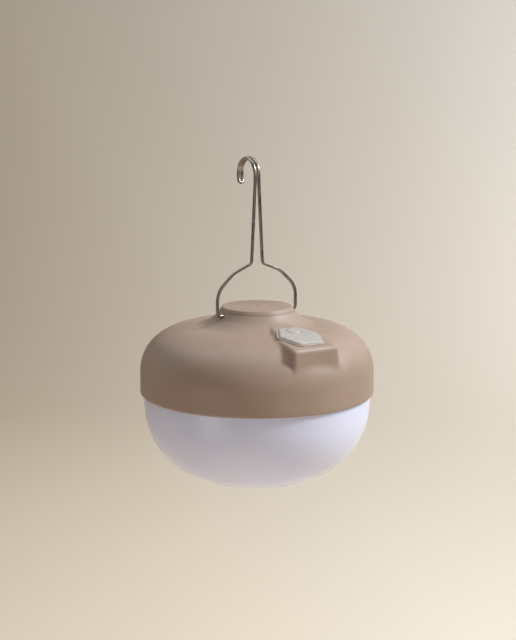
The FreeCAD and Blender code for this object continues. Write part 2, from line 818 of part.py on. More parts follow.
def make_board_parts():
    """Parts soldered to the control board: indicator light, driver parts and two lead sockets."""
    under = -(dim.board_drop + dim.board_thickness)
    light = box("status_light", (-12.9, 2.6, -dim.board_drop), (3.2, 1.6, 1.0))
    keep("status_light", on_boss("status_light", [light]))
    coil = cylinder("driver_coil", 4.0, 4.5, (-5, -6, under - 4.5))
    capacitor = cylinder("driver_capacitor", 3.2, 6.0, (5, -8, under - 6.0))
    chip = box("driver_chip", (3, 4, under - 1.5), (6, 5, 1.5))
    keep("driver_parts", on_boss("driver_parts", [coil, capacitor, chip]))
    sockets = [box(f"lead_socket_{side}", (9 * side, 12, under - 5.0), (6, 4, 5.0)) for side in (-1, 1)]
    keep("lead_sockets", on_boss("lead_sockets", sockets))


# ---------------------------------------------------------------------------------------------
# Carrier, light board and battery
# ---------------------------------------------------------------------------------------------


def light_screw_places():
    """Where the light board's three screws go."""
    circle = dim.light_screw_circle
    angles = [30 + 120 * number for number in range(3)]
    return [(circle * cosine(angle), circle * sine(angle)) for angle in angles]


def strap_screw_places():
    """Where the battery strap's two screws go."""
    return [(0, side * (strap_foot() + 5.5)) for side in (-1, 1)]


def strap_foot():
    """Inner face of the strap's sides, from the middle."""
    return 2 * dim.cell_radius + dim.cradle_wall + 1.4


def make_carrier():
    """White carrier plate across the housing, held up by four screws."""
    low = dim.carrier_height
    plate = cylinder("carrier_disc", dim.carrier_radius, dim.carrier_thickness, (0, 0, low))
    holes = [cylinder("carrier_lead_hole", 3.0, 6, (0, -40, low - 1))]
    screws = []
    for number, (side, depth) in enumerate(FOUR_CORNERS, start=1):
        across = dim.post_offset * side
        deep = dim.post_offset * depth
        holes.append(cylinder(f"carrier_hole_{number}", 1.7, 6, (across, deep, low - 1)))
        screws.append(screw(f"carrier_screw_{number}", 2.8, 2.0, 1.4, 10, (across, deep, low)))
    for number, (across, deep) in enumerate(light_screw_places() + strap_screw_places(), start=1):
        holes.append(cylinder(f"carrier_pilot_{number}_inner", 1.3, 6, (across, deep, low - 1)))
    keep("carrier_plate", less("carrier_plate", plate, holes))
    keep("carrier_screws", joined("carrier_screws", screws))


def make_light_board():
    """Round board under the carrier with two rings of lights and its screws."""
    low = dim.carrier_height - dim.board_thickness
    disc = cylinder("light_disc", dim.light_board_radius, dim.board_thickness, (0, 0, low))
    holes = [cylinder("light_lead_hole", 3.0, 4, (0, -40, low - 1))]
    screws = []
    for number, (across, deep) in enumerate(light_screw_places(), start=1):
        holes.append(cylinder(f"light_hole_{number}", 1.6, 4, (across, deep, low - 1)))
        screws.append(screw(f"light_screw_{number}", 2.5, 1.8, 1.25, 4.0, (across, deep, low)))
    keep("light_board", less("light_board", disc, holes))
    keep("light_board_screws", joined("light_board_screws", screws))
    lights = light_ring(dim.outer_ring, 24, low) + light_ring(dim.inner_ring, 12, low)
    keep("lights", joined("lights", lights))


def light_ring(radius, count, board_low):
    """A ring of small rectangular lights under the board, each facing outward."""
    size = (dim.light_depth, dim.light_width, dim.light_height)
    lights = []
    for number in range(count):
        light = box(f"light_{count}_{number}_block", (radius, 0, board_low - dim.light_height), size)
        turn = Rotation(Vector(0, 0, 1), 360.0 * (number + 0.5) / count)
        lights.append(moved(f"light_{count}_{number}", [light], Placement(Vector(0, 0, 0), turn)))
    return lights


def make_battery():
    """Two round cells side by side in a cradle, with end strips, a strap and its screws."""
    floor = dim.carrier_height + dim.carrier_thickness
    radius = dim.cell_radius
    pitch = radius + 0.3
    start = -(dim.cell_length / 2)
    cells = []
    for name, side in (("front", -1), ("back", 1)):
        where = (start, pitch * side, dim.cell_height)
        cells.append(cylinder(f"cell_{name}", radius, dim.cell_length, where, ALONG_X))
    keep("battery_cells", joined("battery_cells", cells))

    outer_length = dim.cell_length + 2 * dim.cradle_wall + 2.0
    outer_width = 4 * radius + 2 * dim.cradle_wall + 2.0
    block = box("cradle_block", (0, 0, floor), (outer_length, outer_width, dim.cell_height - floor))
    hollows = [cylinder(f"cradle_hollow_{side}", radius + 0.2, dim.cell_length + 2.0,
                        (start - 1.0, pitch * side, dim.cell_height), ALONG_X) for side in (-1, 1)]
    keep("battery_cradle", less("battery_cradle", block, hollows))

    end = dim.cell_length / 2 + 0.4
    strips = []
    for side in (-1, 1):
        strips.append(box(f"end_strip_{side}", (side * end, 0, dim.cell_height + 0.1), (0.3, 26, 6)))
    keep("battery_strips", joined("battery_strips", strips))


def make_strap():
    """Thin steel strap over both cells, screwed to the carrier on each side."""
    floor = dim.carrier_height + dim.carrier_thickness
    foot = strap_foot()
    top = dim.cell_height + dim.cell_radius + 0.25
    width = 12
    thick = 1.0
    tall = top - floor + thick
    span = box("strap_top", (0, 0, top), (width, 2 * (foot + thick), thick))
    pieces = [span]
    for side in (-1, 1):
        wall = (0, side * (foot + thick / 2), floor)
        pieces.append(box(f"strap_side_{side}", wall, (width, thick, tall)))
        pieces.append(box(f"strap_foot_{side}", (0, side * (foot + 5), floor), (width, 10, thick)))
    holes = []
    screws = []
    for number, (across, deep) in enumerate(strap_screw_places(), start=1):
        holes.append(cylinder(f"strap_hole_{number}", 1.7, 4, (across, deep, floor - 1)))
        head = cylinder(f"strap_head_{number}", 2.5, 1.8, (across, deep, floor + thick))
        shank = cylinder(f"strap_shank_{number}", 1.2, 3.0, (across, deep, floor + thick - 2.6))
        screws.append(joined(f"strap_screw_{number}", [head, shank]))
    keep("battery_strap", less("battery_strap", joined("strap_whole", pieces), holes))
    keep("strap_screws", joined("strap_screws", screws))


def make_protection_board():
    """Small board that guards the cells, on edge beside the cradle."""
    floor = dim.carrier_height + dim.carrier_thickness
    beside = 2 * dim.cell_radius + dim.cradle_wall + 1.0 + 0.7
    board = box("protection_board", (-22, beside, floor), (20, 1.0, 10))
    keep("protection_board", board)


# ---------------------------------------------------------------------------------------------
# Leads and bail: round wire along a rounded path
# ---------------------------------------------------------------------------------------------


def path_wire(points, radii):
    """Straight runs joined by tangent arcs, one radius for each inner point."""
    edges = []
    start = points[0]
    for before, corner, after, radius in zip(points, points[1:], points[2:], radii):
        back = (before - corner).normalize()
        on = (after - corner).normalize()
        half = math.acos(max(-1.0, min(1.0, -back.dot(on)))) / 2
        cut = radius * math.tan(half)
        first = corner + back * cut
        last = corner + on * cut
        bisector = (back + on).normalize()
        middle = corner + bisector * (radius / math.cos(half) - radius)
        edges.append(Part.LineSegment(start, first).toShape())
        edges.append(Part.Arc(first, middle, last).toShape())
        start = last
    edges.append(Part.LineSegment(start, points[-1]).toShape())
    return edges


def wire_solid(edges, radius):
    """A round wire of one radius along joined edges."""
    spine = Part.Wire(edges)
    first = edges[0]
    start = first.valueAt(first.FirstParameter)
    direction = first.tangentAt(first.FirstParameter)
    section = Part.Wire([Part.Circle(start, direction, radius).toShape()])
    pipe = spine.makePipeShell([section], True, True)
    expected = math.pi * radius * radius * spine.Length
    if abs(pipe.Volume - expected) > 0.03 * expected:
        raise RuntimeError(f"wire volume {pipe.Volume:.0f} instead of {expected:.0f}")
    return pipe


def make_bail():
    """The bail: one wire, up from each foot, in to the waist and up to a hook that closes on itself."""
    pivot = dim.pivot_height.value
    foot = dim.foot_half.value
    waist = dim.waist_half.value
    tip = dim.tip_half.value
    start = dim.hook_start.value
    curve = dim.hook_curve.value
    side_points = [
        Vector(27.0, 0, pivot),
        Vector(foot, 0, pivot),
        Vector(foot, 0, pivot + 20.5),
        Vector(waist + 17.0, 0, dim.waist_height.value - 7.0),
        Vector(waist - 0.4, 0, dim.waist_height.value + 0.2),
        Vector(tip, 0, start - 4),
        Vector(tip, 0, start),
    ]
    radii = [3.4, 20.0, 25.0, 3.5, 40.0]
    right = path_wire(side_points, radii)
    hook = hook_edges(tip, start, curve)
    left = [mirrored(edge) for edge in right]
    edges = right + hook + list(reversed(left))
    solid = wire_solid(Part.__sortEdges__(edges), dim.wire.value / 2)
    bail = document.addObject("Part::Feature", "bail")
    bail.Shape = solid
    keep("bail", bail)


def hook_point(side, start, curve, angle):
    """Point of the hook at an angle in degrees round its arc."""
    turn = math.radians(angle)
    return Vector(side, curve * (1 - math.cos(turn)), start + curve * math.sin(turn))


def hook_edges(tip, start, curve):
    """The hook: two parallel arcs joined by a half-round bend at the tip."""
    sweep = dim.hook_sweep.value
    arcs = []
    for side in (tip, -tip):
        ends = [hook_point(side, start, curve, angle) for angle in (0, sweep / 2, sweep)]
        arcs.append(Part.Arc(*ends).toShape())
    turn = math.radians(sweep)
    ahead = Vector(0, math.sin(turn), math.cos(turn))
    end = hook_point(0, start, curve, sweep)
    bend = Part.Arc(end + Vector(tip, 0, 0), end + ahead * tip, end - Vector(tip, 0, 0)).toShape()
    return [arcs[0], bend, arcs[1]]


def mirrored(edge):
    """An edge on the other side of the YZ plane."""
    return edge.mirror(Vector(0, 0, 0), Vector(1, 0, 0))


def make_bushes():
    """Plain bushes in the neck for the bail's feet."""
    bushes = []
    for name, start in (("right", as_size(26.2)), ("left", -26.2 - dim.bush_length)):
        sleeve = cylinder(f"bush_{name}_sleeve", dim.bush_radius, dim.bush_length,
                          (start, 0, dim.pivot_height), ALONG_X)
        bore = cylinder(f"bush_{name}_bore", dim.bush_bore, dim.bush_length + 2,
                        (start - 1, 0, dim.pivot_height), ALONG_X)
        bushes.append(less(f"bush_{name}", sleeve, [bore]))
    keep("bail_bush_right", bushes[0])
    keep("bail_bush_left", bushes[1])


def make_leads():
    """Insulated leads inside: battery to control board, and control board to light board."""
    routes = {
        "battery_lead": [Vector(-22, 24.2, 90), Vector(-22, 34, 90), Vector(-38, 34, 104),
                         Vector(-44, 0, 110), Vector(-26, -48, 108), Vector(-9, -51.8, 108),
                         Vector(-9, -51.8, 119.05)],
        "light_lead": [Vector(0, -40, 80.5), Vector(0, -40, 92), Vector(6, -48, 100),
                       Vector(9, -51.8, 108), Vector(9, -51.8, 119.05)],
    }
    for name, points in routes.items():
        radii = corner_radii(points)
        lead = document.addObject("Part::Feature", name)
        lead.Shape = wire_solid(path_wire(points, radii), 0.9)
        keep(name, lead)


def corner_radii(points):
    """The largest arc that each corner's shorter run leaves room for."""
    radii = []
    for before, corner, after in zip(points, points[1:], points[2:]):
        into = corner - before
        out = after - corner
        half = into.getAngle(out) / 2
        radii.append(0.45 * min(into.Length, out.Length) / math.tan(half))
    return radii


# ---------------------------------------------------------------------------------------------
# Build, check and write
# ---------------------------------------------------------------------------------------------


def check_document():
    """Stop if any object failed."""
    document.recompute()
    failed = [thing.Label for thing in document.Objects
              if "Invalid" in thing.State or "Error" in thing.State]
    if failed:
        raise RuntimeError(f"failed objects: {failed}")


def write_parts():
    """Check each sub-part's shape and write it to its own file."""
    os.makedirs("parts", exist_ok=True)
    for name, thing in nodes.items():
        shape = thing.Shape
        if shape.isNull() or not shape.isValid() or not shape.Solids:
            raise RuntimeError(f"{name} has no valid solid")
        shape.exportStep(f"parts/{name}.step")
        print(f"{name}: {len(shape.Solids)} solid(s), {shape.Volume / 1000:.2f} cm3")


bowl_rim = make_diffuser()
make_gasket(bowl_rim)
make_cap()
make_housing()
make_pad()
make_flap()
make_button()
make_control_board()
make_switch()
make_socket()
make_board_parts()
make_carrier()
make_light_board()
make_battery()
make_strap()
make_protection_board()
make_bail()
make_bushes()
make_leads()
check_document()
write_parts()
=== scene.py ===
"""Looks of the hanging camping lantern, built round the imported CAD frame.

Lengths are worked out in millimetres and turned into metres when a mesh is made. The frame is the
part's own: +Z up, the bowl's flat base at z = 0, the control boss at the front (-Y).
"""
import math

import bmesh
import bpy
import numpy as np
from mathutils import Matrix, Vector


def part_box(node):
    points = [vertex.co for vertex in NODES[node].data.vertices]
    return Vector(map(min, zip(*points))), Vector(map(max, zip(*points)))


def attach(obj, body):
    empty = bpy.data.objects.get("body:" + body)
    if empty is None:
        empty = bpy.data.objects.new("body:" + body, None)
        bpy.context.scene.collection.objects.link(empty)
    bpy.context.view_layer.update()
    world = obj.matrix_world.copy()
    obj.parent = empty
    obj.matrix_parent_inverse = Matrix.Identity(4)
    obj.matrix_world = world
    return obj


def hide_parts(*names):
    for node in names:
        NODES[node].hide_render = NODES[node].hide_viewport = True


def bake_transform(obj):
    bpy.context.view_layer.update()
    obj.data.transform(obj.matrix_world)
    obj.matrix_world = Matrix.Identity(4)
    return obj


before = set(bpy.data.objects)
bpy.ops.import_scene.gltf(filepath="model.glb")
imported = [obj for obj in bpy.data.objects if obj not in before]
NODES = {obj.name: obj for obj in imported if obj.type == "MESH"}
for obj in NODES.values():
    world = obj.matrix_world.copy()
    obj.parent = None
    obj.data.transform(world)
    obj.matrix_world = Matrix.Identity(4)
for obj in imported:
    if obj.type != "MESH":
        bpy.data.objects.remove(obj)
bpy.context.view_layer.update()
MM = 0.001


def node_box(name):
    """A CAD node's lowest and highest corner in millimetres."""
    low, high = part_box(name)
    return np.array(low) / MM, np.array(high) / MM


# ---------------------------------------------------------------------------------------------
# Sizes, in millimetres
# ---------------------------------------------------------------------------------------------

HOUSING_LOW, HOUSING_HIGH = node_box("upper_housing")
CAP_LOW, CAP_HIGH = node_box("top_cap")
BOWL_LOW, BOWL_HIGH = node_box("diffuser")
BAIL_LOW, BAIL_HIGH = node_box("bail")

SEAM = HOUSING_LOW[2]
NECK_EDGE = HOUSING_HIGH[2]
HOUSING_RADIUS = HOUSING_HIGH[0]
WALL = 2.5
LIP_ROUND = 2.0
DRAFT = 0.6
SIDE_HEIGHT = 18.0
DOME_ARCS = ((35.3, 52.5), (48.8, 28.3), (125.0, 5.0), (26.3, -48.0))
NECK_RADIUS = 32.0
NECK_OPENING = 24.2
NECK_CEILING = 139.0
FOOT_HOLE_RADIUS = 2.1

CAP_RADIUS = 29.8
CAP_SPIGOT = 4.0
PIN_HOLE_RADIUS = 1.3
PIN_HOLE_DEPTH = 2.4

BOSS_ORIGIN = np.array((0.0, -66.2, 133.1))
BOSS_TILT = math.radians(9.8)
BOSS_ACROSS = np.array((1.0, 0.0, 0.0))
BOSS_INWARD = np.array((0.0, math.cos(BOSS_TILT), math.sin(BOSS_TILT)))
BOSS_UP = np.array((0.0, -math.sin(BOSS_TILT), math.cos(BOSS_TILT)))
BOSS_HALF_WIDTH = 23.8
BOSS_FRONT = 94.9
BOSS_SHOULDER = 66.0
BOSS_BACK = 36.0
BOSS_BACK_HALF = 12.5
BOSS_FOOT = 102.0
BOSS_TAPER = math.tan(math.radians(4.0))
BOSS_CORNER = 5.4
BOSS_EDGE = 3.4
SIDE_BLEND = 4.0
FRONT_BLEND = 1.6

PAD_CORNERS = ((20.0, 1.0), (10.2, 19.3), (-10.2, 19.3), (-20.0, 1.0), (-12.4, -21.0), (12.4, -21.0))
PAD_CORNER_RADII = (3.5, 3.5, 3.5, 3.5, 7.0, 7.0)
PAD_TOP = 2.4
PAD_SEAT = 0.12
PAD_MARGIN = 4.4
PAD_THINNEST = 0.35
LIP_HEIGHT = 0.95
LIP_WIDTH = 1.6
GROOVE = 0.3
LIGHT_SPOT = (-12.9, 2.6)
BEND_LINE = 0.6
BUTTON_INWARD = 9.0
BUTTON_RADIUS = 6.2
BUTTON_GAP = 0.3
BUTTON_RISE = 0.9
BUTTON_STEM = 1.9
STEM_CLEARANCE = 0.4
PORT_OUTWARD = 9.5
PORT_SIZE = (12.6, 7.2)
PLUG_CLEARANCE = 0.45

BOWL_ARCS = ((28.0, 9.85), (65.7, 72.9), (143.0, 7.25))
BOWL_BASE = 37.2
BOWL_WALL = 2.2
BEAD_HEIGHT = 77.6
BEAD_REACH = 0.7

WIRE = 2.8
PIVOT = 143.2


# ---------------------------------------------------------------------------------------------
# Mesh helpers
# ---------------------------------------------------------------------------------------------


def make_object(name, points, faces, material, sharp=35.0):
    """A smooth-shaded mesh from points in millimetres, creased where faces meet at a sharp angle."""
    mesh = bpy.data.meshes.new(name)
    mesh.from_pydata((np.asarray(points, float) * MM).tolist(), [], [list(face) for face in faces])
    mesh.validate()
    mesh.shade_smooth()
    mesh.set_sharp_from_angle(angle=math.radians(sharp))
    mesh.materials.append(material)
    thing = bpy.data.objects.new(name, mesh)
    bpy.context.scene.collection.objects.link(thing)
    return thing


def grid_faces(rows, columns, wrap_rows=False, wrap_columns=False, first=0):
    """Quads of a grid of points stored row by row."""
    faces = []
    for row in range(rows if wrap_rows else rows - 1):
        below = first + row * columns
        above = first + (row + 1) % rows * columns
        for column in range(columns if wrap_columns else columns - 1):
            after = (column + 1) % columns
            faces.append((below + column, below + after, above + after, above + column))
    return faces


def rounded_path(points, radii, step=6.0):
    """Points along a path whose inner corners are rounded by arcs, in two or three dimensions."""
    points = [np.array(point, float) for point in points]
    path = [points[0]]
    for before, corner, after, radius in zip(points, points[1:], points[2:], radii):
        back = (before - corner) / np.linalg.norm(before - corner)
        onward = (after - corner) / np.linalg.norm(after - corner)
        half = math.acos(max(-1.0, min(1.0, -back @ onward))) / 2
        if half < 1e-4 or radius <= 0:
            path.append(corner)
            continue
        bisector = (back + onward) / np.linalg.norm(back + onward)
        centre = corner + bisector * radius / math.cos(half)
        count = max(2, math.ceil(2 * math.degrees(half) / step))
        spread = np.linspace(-half, half, count + 1)
        along = (onward - back) / np.linalg.norm(onward - back)
        inward, onward = -bisector * radius, along * radius
        path += [centre + inward * math.cos(angle) + onward * math.sin(angle) for angle in spread]
    path.append(points[-1])
    return np.array(path)


def lathe(name, profile, material, segments=192, closed=True, sharp=35.0):
    """A profile of (radius, height) points turned about Z. Points on the axis become poles."""
    angles = np.linspace(0, 2 * math.pi, segments, endpoint=False)
    points = [(r * math.cos(a), r * math.sin(a), z) for r, z in profile for a in angles]
    rows = len(profile)
    faces = grid_faces(rows, segments, wrap_rows=closed, wrap_columns=True)
    thing = make_object(name, points, faces, material, sharp)
    weld(thing.data)
    return thing


def weld(mesh, distance=1e-7):
    """Join coincident points, drop the faces that this flattens, and make the normals point out."""
    shape = bmesh.new()
    shape.from_mesh(mesh)
    bmesh.ops.remove_doubles(shape, verts=shape.verts, dist=distance)
    bmesh.ops.dissolve_degenerate(shape, dist=distance, edges=shape.edges)
    bmesh.ops.recalc_face_normals(shape, faces=shape.faces)
    shape.to_mesh(mesh)
    shape.free()


def boolean(thing, cutter, operation):
    """Cut a helper shape from a piece, or add it, and remove the helper."""
    modifier = thing.modifiers.new("cut", "BOOLEAN")
    modifier.operation = operation
    modifier.solver = "EXACT"
    modifier.object = cutter
    bpy.context.view_layer.update()
    evaluated = thing.evaluated_get(bpy.context.evaluated_depsgraph_get())
    mesh = bpy.data.meshes.new_from_object(evaluated)
    thing.modifiers.clear()
    mesh.name = thing.name
    thing.data = mesh
    bpy.data.objects.remove(cutter)


def rod(radius, low, high, centre=(0.0, 0.0), segments=64):
    """Helper: points and faces of a closed cylinder from one height to another."""
    angles = np.linspace(0, 2 * math.pi, segments, endpoint=False)
    ring = [(centre[0] + radius * math.cos(a), centre[1] + radius * math.sin(a)) for a in angles]
    points = [(x, y, z) for z in (low, high) for x, y in ring]
    faces = grid_faces(2, segments, wrap_columns=True)
    faces += [tuple(reversed(range(segments))), tuple(range(segments, 2 * segments))]
    return np.array(points), faces


def rounded_block(size, centre, low, high, radius, segments=6):
    """Helper: points and faces of an upright block with rounded corners."""
    half_x, half_y = size[0] / 2 - radius, size[1] / 2 - radius
    ring = []
    for quarter, (side_x, side_y) in enumerate(((1, 1), (-1, 1), (-1, -1), (1, -1))):
        for step in range(segments + 1):
            angle = math.radians(90 * (quarter + step / segments))
            ring.append((centre[0] + side_x * half_x + radius * math.cos(angle),
                         centre[1] + side_y * half_y + radius * math.sin(angle)))
    points = [(x, y, z) for z in (low, high) for x, y in ring]
    faces = grid_faces(2, len(ring), wrap_columns=True)
    faces += [tuple(reversed(range(len(ring)))), tuple(range(len(ring), 2 * len(ring)))]
    return np.array(points), faces


def from_boss(points):
    """Points in the boss frame (across, inward, up) as points in the row frame."""
    points = np.asarray(points, float)
    turned = points[:, :1] * BOSS_ACROSS + points[:, 1:2] * BOSS_INWARD + points[:, 2:] * BOSS_UP
    return BOSS_ORIGIN + turned


def carry(thing, body, slot, *replaced):
    """Finish a piece: what it moves with and which nodes it stands for; the slot, where its finish comes
    from, is not used.
    """
    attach(thing, body)
    if replaced:
        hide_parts(*replaced)
    return thing


# ---------------------------------------------------------------------------------------------
# Materials
# ---------------------------------------------------------------------------------------------


def linear(colour):
    """A colour from 0-255 screen values to the linear values that shaders take."""
    shares = np.array(colour) / 255
    return [*np.where(shares <= 0.04045, shares / 12.92, ((shares + 0.055) / 1.055) ** 2.4), 1.0]


class Surface:
    """A Principled material and short calls that add procedural detail to it."""

    def __init__(self, name, **sockets):
        self.material = bpy.data.materials.new(name)
        self.material.use_nodes = True
        self.nodes = self.material.node_tree.nodes
        self.links = self.material.node_tree.links
        self.shader = self.nodes["Principled BSDF"]
        self.place = self.nodes.new("ShaderNodeTexCoord").outputs["Object"]
        self.normal = None
        for socket, value in sockets.items():
            self.shader.inputs[socket.replace("_", " ")].default_value = value

    def stretched(self, scale):
        """Texture coordinates scaled differently along X, Y and Z."""
        mapping = self.nodes.new("ShaderNodeMapping")
        mapping.inputs["Scale"].default_value = scale
        self.links.new(self.place, mapping.inputs["Vector"])
        return mapping.outputs["Vector"]

    def noise(self, scale, detail=3.0, place=None, roughness=0.5):
        texture = self.nodes.new("ShaderNodeTexNoise")
        texture.inputs["Scale"].default_value = scale
        texture.inputs["Detail"].default_value = detail
        texture.inputs["Roughness"].default_value = roughness
        self.links.new(place or self.place, texture.inputs["Vector"])
        return texture.outputs["Fac"]

    def slope(self, direction, start):
        """A value that rises steadily along a direction, by its length for each metre."""
        product = self.nodes.new("ShaderNodeVectorMath")
        product.operation = "DOT_PRODUCT"
        product.inputs[1].default_value = direction
        self.links.new(self.place, product.inputs[0])
        total = self.nodes.new("ShaderNodeMath")
        total.inputs[1].default_value = start
        self.links.new(product.outputs["Value"], total.inputs[0])
        return total.outputs["Value"]

    def cells(self, scale, feature="F1"):
        texture = self.nodes.new("ShaderNodeTexVoronoi")
        texture.feature = feature
        texture.inputs["Scale"].default_value = scale
        self.links.new(self.place, texture.inputs["Vector"])
        return texture.outputs["Distance"]

    def remapped(self, value, low, high, start=0.3, end=0.7):
        """A texture value between start and end, spread to low and high."""
        remap = self.nodes.new("ShaderNodeMapRange")
        for socket, number in (("From Min", start), ("From Max", end), ("To Min", low), ("To Max", high)):
            remap.inputs[socket].default_value = number
        self.links.new(value, remap.inputs["Value"])
        return remap.outputs["Result"]

    def colours(self, value, *stops):
        """Base colour from a texture value through colour stops of (place, colour)."""
        ramp = self.nodes.new("ShaderNodeValToRGB")
        elements = ramp.color_ramp.elements
        while len(elements) < len(stops):
            elements.new(0.5)
        for element, (position, colour) in zip(elements, stops):
            element.position = position
            element.color = linear(colour)
        self.links.new(value, ramp.inputs["Fac"])
        self.links.new(ramp.outputs["Color"], self.shader.inputs["Base Color"])
        return ramp.outputs["Color"]

    def rough(self, value, low, high):
        self.links.new(self.remapped(value, low, high), self.shader.inputs["Roughness"])

    def bump(self, height, depth_mm, strength=1.0):
        """Relief of a depth in millimetres, laid over any relief added before."""
        node = self.nodes.new("ShaderNodeBump")
        node.inputs["Distance"].default_value = depth_mm * MM
        node.inputs["Strength"].default_value = strength
        self.links.new(height, node.inputs["Height"])
        if self.normal is not None:
            self.links.new(self.normal, node.inputs["Normal"])
        self.normal = node.outputs["Normal"]
        self.links.new(self.normal, self.shader.inputs["Normal"])


def shade(colour, factor):
    """A screen colour made lighter or darker."""
    return tuple(max(0.0, min(255.0, value * factor)) for value in colour)


def moulded(name, colour, roughness=0.45, grain=0.02, spread=0.03):
    """Moulded plastic or silicone: fine grain, slight mottling and uneven gloss."""
    surface = Surface(name)
    mottle = surface.noise(35.0, 4.0)
    surface.colours(mottle, (0.3, shade(colour, 1 - spread)), (0.7, shade(colour, 1 + spread)))
    surface.rough(surface.noise(160.0, 3.0), roughness - 0.05, roughness + 0.05)
    surface.bump(surface.noise(1500.0, 2.0), grain)
    return surface


def housing_material():
    """Satin taupe plastic with a fine spark-eroded grain and very slight flow waves."""
    surface = moulded("housing_plastic", (161, 137, 120), roughness=0.52, grain=0.035, spread=0.02)
    surface.bump(surface.noise(24.0, 1.0), 0.12)
    surface.shader.inputs["IOR"].default_value = 1.52
    return surface.material


def milky_material():
    """Milky polycarbonate: light soaks in, and a smooth clear surface mirrors the room."""
    surface = Surface("milky_plastic", Subsurface_Weight=0.5, Subsurface_Scale=0.004, IOR=1.42)
    surface.shader.inputs["Subsurface Radius"].default_value = (1.0, 0.9, 1.0)
    surface.colours(surface.noise(14.0, 3.0), (0.3, (219, 219, 245)), (0.7, (225, 225, 249)))
    surface.rough(surface.noise(60.0, 2.0), 0.19, 0.25)
    surface.bump(surface.noise(18.0, 1.0), 0.01)
    return surface.material


def silicone_material():
    """Pale silicone, a little dusty, with a soft sheen at grazing angles."""
    surface = moulded("pad_silicone", (176, 167, 159), roughness=0.5, grain=0.02, spread=0.025)
    surface.shader.inputs["Subsurface Weight"].default_value = 0.15
    surface.shader.inputs["Subsurface Scale"].default_value = 0.002
    surface.shader.inputs["Sheen Weight"].default_value = 0.08
    return surface.material


def metal(name, colour, roughness=0.3, streaks=(1.0, 1.0, 1.0), grain=0.004):
    """Bare metal with streaks from drawing, rolling or plating."""
    surface = Surface(name, Metallic=1.0)
    streak = surface.noise(900.0, 3.0, surface.stretched(streaks))
    surface.colours(surface.noise(120.0, 4.0), (0.3, shade(colour, 0.88)), (0.7, shade(colour, 1.06)))
    surface.rough(streak, roughness - 0.08, roughness + 0.1)
    surface.bump(streak, grain)
    return surface


def board_material():
    """Green solder mask over faint copper tracks."""
    surface = Surface("circuit_board", Coat_Weight=0.3)
    tracks = surface.cells(260.0, "DISTANCE_TO_EDGE")
    surface.colours(tracks, (0.05, (38, 104, 58)), (0.12, (18, 74, 38)))
    surface.rough(surface.noise(300.0), 0.25, 0.35)
    surface.bump(tracks, 0.03)
    return surface.material


def wrap_material():
    """Blue shrink wrap with soft wrinkles round the cells."""
    surface = Surface("cell_wrap", Coat_Weight=0.4)
    wrinkles = surface.noise(90.0, 4.0, surface.stretched((0.4, 1.0, 1.0)))
    surface.colours(wrinkles, (0.3, (24, 66, 118)), (0.7, (36, 88, 146)))
    surface.rough(wrinkles, 0.25, 0.4)
    surface.bump(wrinkles, 0.08)
    return surface.material


def light_material():
    """Yellow phosphor under a clear lens."""
    surface = Surface("light_lens", Coat_Weight=0.8)
    surface.colours(surface.noise(700.0, 3.0), (0.35, (226, 190, 84)), (0.65, (240, 214, 120)))
    surface.rough(surface.noise(400.0), 0.2, 0.35)
    surface.bump(surface.noise(1200.0), 0.02)
    return surface.material


def coated_board_material():
    """White reflecting coat over an aluminium-core board."""
    surface = moulded("light_board_aluminium", (228, 227, 222), roughness=0.38, grain=0.015, spread=0.015)
    return surface.material


MATERIALS = {
    "housing_plastic": housing_material(),
    "milky_plastic": milky_material(),
    "pad_silicone": silicone_material(),
    "seal_silicone": moulded("seal_silicone", (196, 196, 190), 0.55).material,
    "wire_steel": metal("wire_steel", (162, 151, 139), 0.28, (0.1, 0.1, 0.1), 0.001).material,
    "bush_plastic": moulded("bush_plastic", (52, 47, 43), 0.4).material,
    "circuit_board": board_material(),
    "screw_steel": metal("screw_steel", (196, 195, 190), 0.3).material,
    "black_plastic": moulded("black_plastic", (34, 34, 35), 0.42, 0.03).material,
    "socket_steel": metal("socket_steel", (200, 200, 200), 0.24, (0.2, 0.2, 1.0)).material,
    "light_lens": light_material(),
    "white_plastic": moulded("white_plastic", (226, 226, 220), 0.4, 0.03).material,
    "light_board_aluminium": coated_board_material(),
    "cell_wrap": wrap_material(),
    "strip_nickel": metal("strip_nickel", (204, 198, 184), 0.3, (1.0, 0.1, 1.0)).material,
    "strap_steel": metal("strap_steel", (186, 188, 190), 0.35, (1.0, 0.1, 0.1)).material,
    "lead_insulation": moulded("lead_insulation", (150, 32, 28), 0.4, 0.02).material,
}


# ---------------------------------------------------------------------------------------------
# Housing: the turned dome, and the control boss growing out of it with soft fillets
# ---------------------------------------------------------------------------------------------


class Arc:
    """One arc of the dome's profile, met from its start to its end with the body on its left."""

    def __init__(self, start, heading, radius, sweep):
        self.turn = 1 if sweep > 0 else -1
        self.radius = radius
        self.begin = math.radians(heading - 90 * self.turn)
        self.sweep = math.radians(sweep)
        self.centre = start - radius * self.direction(self.begin)
        self.end = self.centre + radius * self.direction(self.begin + self.sweep)
        self.heading = heading + sweep

    @staticmethod
    def direction(angle):
        return np.array((math.cos(angle), math.sin(angle)))

    def samples(self, step):
        count = max(2, math.ceil(abs(self.sweep) * self.radius / step))
        angles = self.begin + self.sweep * np.arange(1, count + 1) / count
        return [self.centre + self.radius * self.direction(angle) for angle in angles]

    def distance(self, radii, heights):
        """Distance outside the arc, and how far the point lies outside the arc's sector."""
        across, up = radii - self.centre[0], heights - self.centre[1]
        share = (np.arctan2(up, across) - self.begin) / self.sweep
        whole = 2 * math.pi / abs(self.sweep)
        share = (share + whole / 2) % whole - whole / 2
        outside = np.maximum(np.maximum(-share, share - 1), 0)
        return self.turn * (np.hypot(across, up) - self.radius), outside


